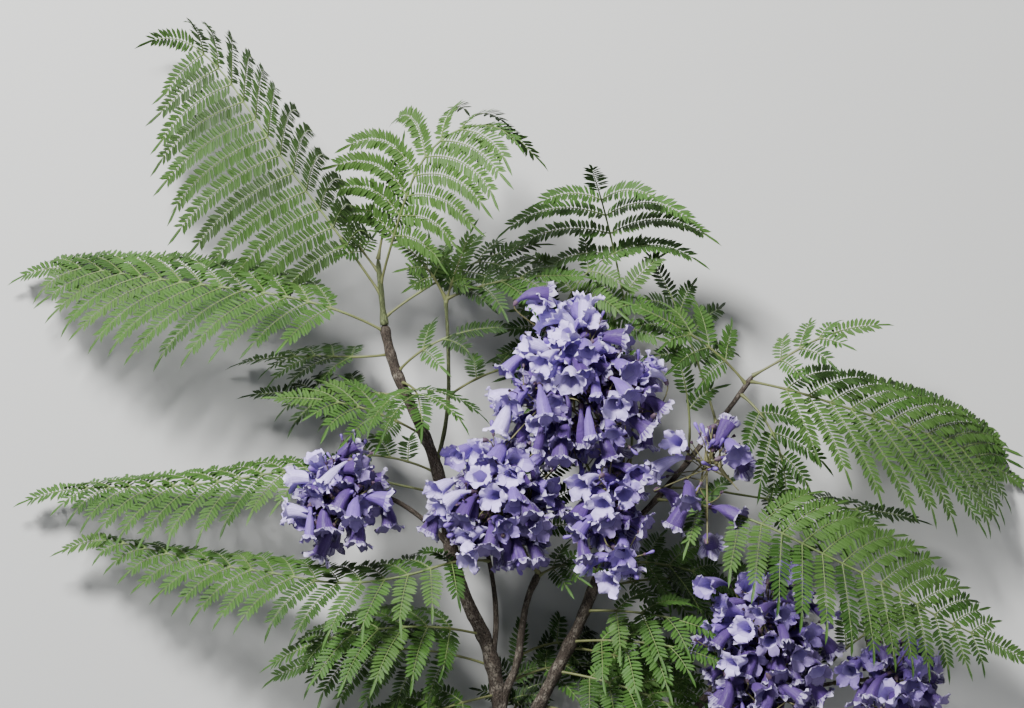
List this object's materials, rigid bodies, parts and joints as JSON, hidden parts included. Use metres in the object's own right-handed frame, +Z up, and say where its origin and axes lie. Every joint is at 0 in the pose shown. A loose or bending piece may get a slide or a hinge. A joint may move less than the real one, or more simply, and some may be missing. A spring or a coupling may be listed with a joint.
{
  "type": "flowering jacaranda branch, cut",
  "caption": "Cut branch of a jacaranda tree in flower: forking boughs, long feathery leaves and rounded clusters of violet trumpet flowers, lying on a level surface.",
  "frame": {"origin": "middle of the box that holds the branch, on the level surface that it lies on", "axes": "+Y along the branch from its cut end to its tips, +X to the right seen from above, +Z up"},
  "size_m": [1.0376, 0.9402, 0.2309],
  "materials": {
    "bark": "rough grey-brown bark",
    "green_bark": "smooth green bark of young shoots",
    "leaf": "satin green leaflets",
    "petal": "soft violet petals"
  },
  "bodies": {
    "root": {"stem_base": "bark", "bough_left": "bark", "bough_right": "bark", "bough_middle": "bark", "bough_far_right": "bark", "twig_left_cluster": "bark", "twig_middle": "bark", "twig_right": "bark", "twig_far_right": "bark", "shoot_left": "green_bark", "shoot_top": "green_bark", "leaf_back_left": "leaf", "leaf_base_left": "leaf", "leaf_base_low": "leaf", "leaf_base_right": "leaf", "leaf_behind_right": "leaf", "leaf_behind_top": "leaf", "leaf_between": "leaf", "leaf_centre": "leaf", "leaf_facing": "leaf", "leaf_far_right_foot": "leaf", "leaf_far_right_tip": "leaf", "leaf_far_right_up": "leaf", "leaf_foot_left": "leaf", "leaf_foot_right": "leaf", "leaf_inner_right": "leaf", "leaf_left": "leaf", "leaf_left_inner": "leaf", "leaf_left_low": "leaf", "leaf_left_lowest": "leaf", "leaf_node_down": "leaf", "leaf_node_left": "leaf", "leaf_node_up": "leaf", "leaf_right": "leaf", "leaf_right_behind": "leaf", "leaf_right_inner": "leaf", "leaf_right_low": "leaf", "leaf_top_left": "leaf", "leaf_top_right": "leaf", "leaf_under_right": "leaf", "leaf_up_right": "leaf", "leaf_young": "leaf", "leaf_young_left": "leaf", "flowers_far_right": "petal", "flowers_front": "petal", "flowers_left": "petal", "flowers_low_right": "petal", "flowers_middle": "petal", "flowers_right": "petal", "flowers_top": "petal"}
  },
  "joints": []
}
